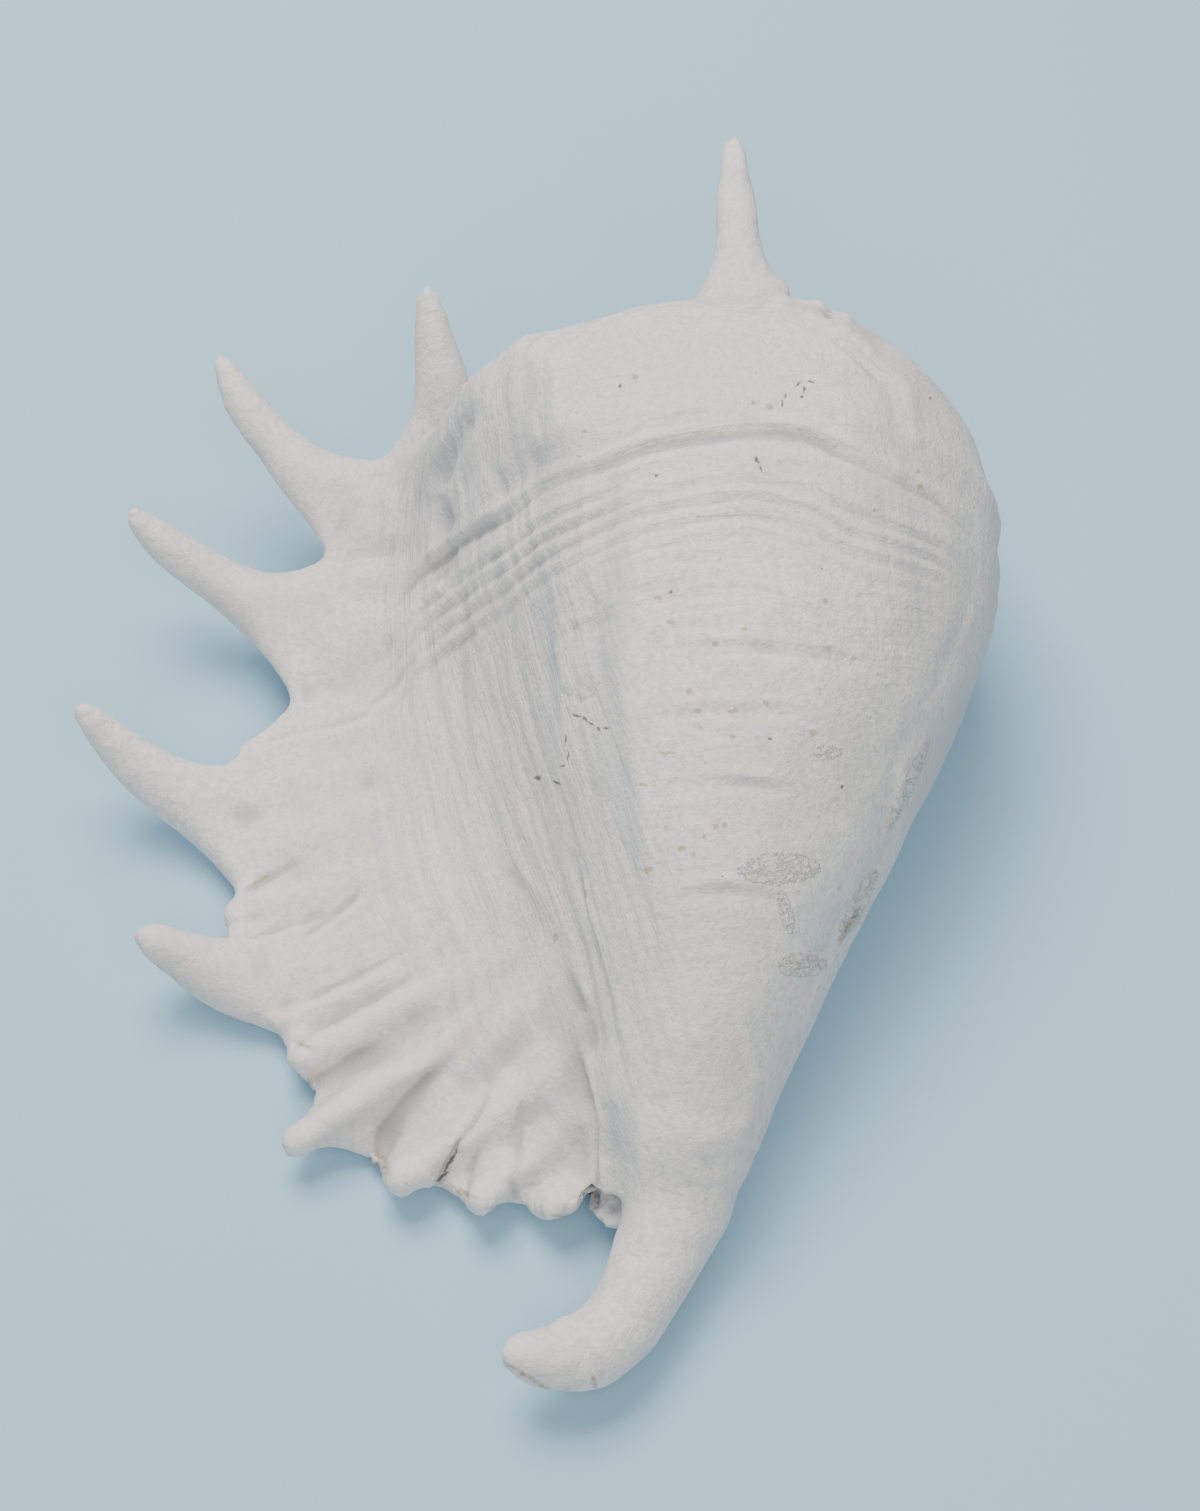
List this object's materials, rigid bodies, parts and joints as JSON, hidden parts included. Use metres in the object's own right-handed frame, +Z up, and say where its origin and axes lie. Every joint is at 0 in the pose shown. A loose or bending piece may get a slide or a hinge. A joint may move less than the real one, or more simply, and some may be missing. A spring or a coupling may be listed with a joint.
{
  "type": "spider conch shell",
  "caption": "Giant spider conch seashell lying on its mouth, with a flared lip, long curved fingers, a coiled back and a hooked front canal.",
  "frame": {"origin": "centre of the bounding box at the level of the surface that the shell lies on", "axes": "+Y towards the spire and its spine, -Y towards the front canal, -X towards the flared lip with its fingers, +Z up from the surface, over the back of the shell"},
  "size_m": [0.2228, 0.3066, 0.1102],
  "materials": {
    "shell_white": "matt bleached shell, chalky off-white"
  },
  "bodies": {
    "root": {"shell": "shell_white"}
  },
  "joints": []
}
